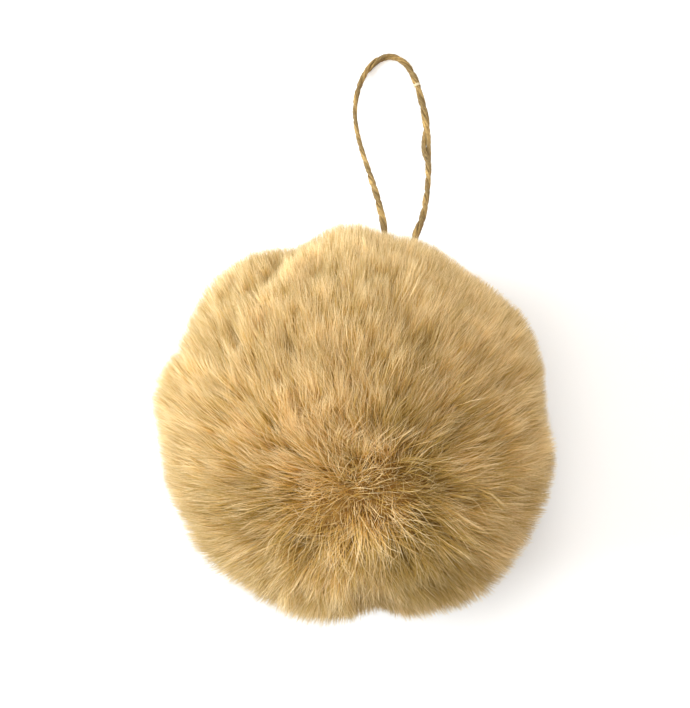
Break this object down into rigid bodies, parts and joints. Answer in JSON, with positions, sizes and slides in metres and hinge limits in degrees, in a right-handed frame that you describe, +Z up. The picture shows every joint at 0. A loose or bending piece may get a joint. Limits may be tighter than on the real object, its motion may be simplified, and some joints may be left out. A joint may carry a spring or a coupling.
{
  "type": "faux-fur pom pom",
  "caption": "Round faux-fur pom pom with long swept pile on a two-ply twine hanging loop, lying on its back; an ornament, charm or trimming.",
  "frame": {"origin": "on the resting surface, under the middle of the fur ball's box", "axes": "+Z up out of the surface and toward the side where the fur parts, +Y from the ball toward the hanging loop, +X to the right as seen from above with the loop away"},
  "size_m": [0.0952, 0.1398, 0.09],
  "materials": {
    "fur": "long soft faux-fur pile, caramel with paler tips",
    "twine": "matt two-ply jute twine"
  },
  "bodies": {
    "root": {"fur_ball": "fur", "hanging_loop": "twine"}
  },
  "joints": []
}
